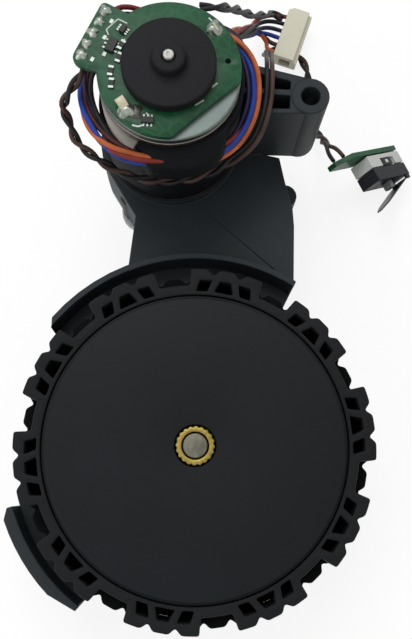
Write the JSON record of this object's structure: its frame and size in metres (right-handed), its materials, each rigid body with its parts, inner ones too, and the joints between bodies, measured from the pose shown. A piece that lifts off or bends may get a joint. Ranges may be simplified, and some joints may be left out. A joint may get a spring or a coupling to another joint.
{
  "type": "robot vacuum wheel module",
  "caption": "Drive wheel module of a robot vacuum: treaded wheel on a geared swing arm, motor with encoder board, wires with a connector, and a wheel-drop micro switch.",
  "frame": {"origin": "on the gearbox cover's back face, at the wheel's axis", "axes": "+Z along the wheel's axis towards its front disc, +Y roughly along the arm from the wheel to the motor"},
  "size_m": [0.0881, 0.1471, 0.0602],
  "materials": {
    "black_plastic": "fine matt moulding",
    "wheel_plastic": "smooth satin disc",
    "pale_plastic": "matt light grey",
    "tyre_rubber": "matt rubber",
    "brass": "turned and knurled",
    "steel": "plain bright steel",
    "motor_steel": "zinc plated drawn steel",
    "ferrite": "matt black ferrite",
    "black_tape": "soft cloth tape with folds",
    "circuit_board": "green solder mask",
    "chip": "moulded chip",
    "solder": "tinned solder",
    "wire_cover": "extruded wire covers in several colours",
    "ivory_nylon": "natural nylon",
    "white_plastic": "matt white moulding",
    "switch_black": "matt black moulding",
    "gear_nylon": "natural acetal",
    "copper": "wound copper"
  },
  "bodies": {
    "housing": {"gearbox_front": "black_plastic", "gearbox_cover": "pale_plastic", "cover_screw_1": "steel", "cover_screw_2": "steel", "cover_screw_3": "steel", "cover_screw_4": "steel", "cover_screw_5": "steel", "cover_screw_6": "steel", "gear_pin_a": "steel", "gear_pin_b": "steel", "gear_pin_c": "steel", "output_bush_front": "brass", "output_bush_back": "brass", "motor_can": "motor_steel", "motor_end_bell": "motor_steel", "field_magnet_left": "ferrite", "field_magnet_right": "ferrite", "motor_screw_1": "steel", "motor_screw_2": "steel", "tape_wrap": "black_tape", "encoder_board": "circuit_board", "board_chip_1": "chip", "board_chip_2": "chip", "board_chip_3": "chip", "motor_terminal_left": "solder", "motor_terminal_right": "solder", "wire_loop": "wire_cover", "board_pair": "wire_cover", "switch_pair": "wire_cover", "connector_housing": "ivory_nylon", "switch_board": "circuit_board", "switch_base": "white_plastic", "switch_cover": "switch_black"},
    "wheel": {"tyre": "tyre_rubber", "wheel_hub": "wheel_plastic", "hub_insert": "brass", "output_shaft": "steel", "output_gear": "gear_nylon"},
    "gear_c": {"gear_c": "gear_nylon"},
    "gear_b": {"gear_b": "gear_nylon"},
    "gear_a": {"gear_a": "gear_nylon"},
    "rotor": {"motor_shaft": "steel", "armature": "copper", "commutator": "copper", "motor_pinion": "brass", "encoder_magnet": "ferrite"},
    "lever": {"switch_lever": "steel"},
    "plunger": {"switch_plunger": "ivory_nylon"}
  },
  "joints": [
    {"name": "wheel_spin", "type": "hinge", "parent": "housing", "child": "wheel", "pos_m": [0, 0, 0.026], "axis": [0, 0, 1], "continuous": true},
    {"name": "gear_c_spin", "type": "hinge", "parent": "housing", "child": "gear_c", "pos_m": [0.00062, 0.02362, 0.008], "axis": [0, 0, 1], "continuous": true},
    {"name": "gear_b_spin", "type": "hinge", "parent": "housing", "child": "gear_b", "pos_m": [0.00111, 0.04255, 0.008], "axis": [0, 0, 1], "continuous": true},
    {"name": "gear_a_spin", "type": "hinge", "parent": "housing", "child": "gear_a", "pos_m": [-0.00443, 0.0578, 0.008], "axis": [0, 0, 1], "continuous": true},
    {"name": "rotor_spin", "type": "hinge", "parent": "housing", "child": "rotor", "pos_m": [-0.00871, 0.06958, 0.034], "axis": [0, 0, 1], "continuous": true},
    {"name": "lever_press", "type": "hinge", "parent": "housing", "child": "lever", "pos_m": [0.04747, 0.06838, 0.00287], "axis": [-0.5247, -0.2948, -0.7986], "range_deg": [0, 12], "stiffness_Nm_per_rad": 0.01},
    {"name": "plunger_press", "type": "slide", "parent": "housing", "child": "plunger", "axis": [0.4898, -0.8718, 0], "range_m": [-0.00121, 0]}
  ],
  "couplings": [
    {"joint": "gear_c_spin", "follows": "wheel_spin", "ratio": -2.9333},
    {"joint": "gear_b_spin", "follows": "wheel_spin", "ratio": 8.381},
    {"joint": "gear_a_spin", "follows": "wheel_spin", "ratio": -23.946},
    {"joint": "rotor_spin", "follows": "wheel_spin", "ratio": 61.574},
    {"joint": "plunger_press", "follows": "lever_press", "m_per_rad": -0.0057296}
  ]
}
